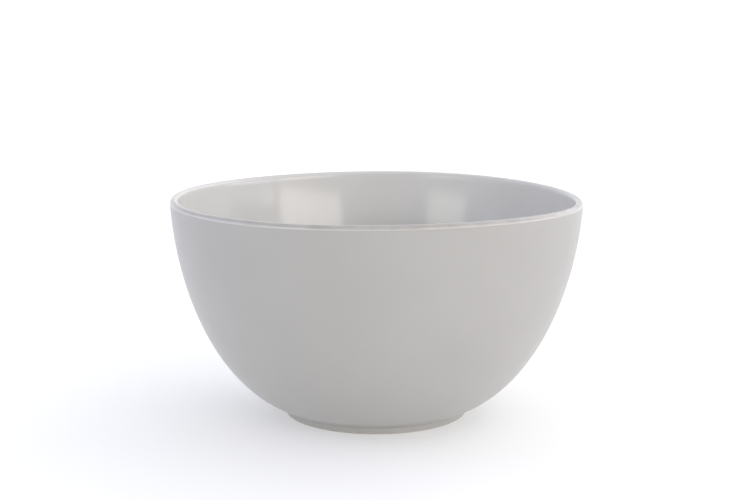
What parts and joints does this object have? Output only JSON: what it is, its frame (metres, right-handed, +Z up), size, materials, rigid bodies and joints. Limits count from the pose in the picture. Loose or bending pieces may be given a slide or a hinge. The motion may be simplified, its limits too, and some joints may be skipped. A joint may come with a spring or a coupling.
{
  "type": "serving bowl",
  "caption": "Deep round stoneware bowl on a low foot ring, open at the top with a rounded lip, for serving chips, crisps or snacks beside a dip.",
  "frame": {"origin": "centre of the foot ring, on the surface that the bowl stands on", "axes": "+Z up along the bowl's axis, out of its mouth; X and Y are free, because the bowl is round"},
  "size_m": [0.25, 0.25, 0.1345],
  "materials": {
    "bare_stoneware": "matte",
    "gloss_glaze": "gloss",
    "satin_glaze": "satin"
  },
  "bodies": {
    "root": {"stoneware_body": "bare_stoneware", "inside_glaze": "gloss_glaze", "outside_glaze": "satin_glaze", "underside_glaze": "satin_glaze"}
  },
  "joints": []
}
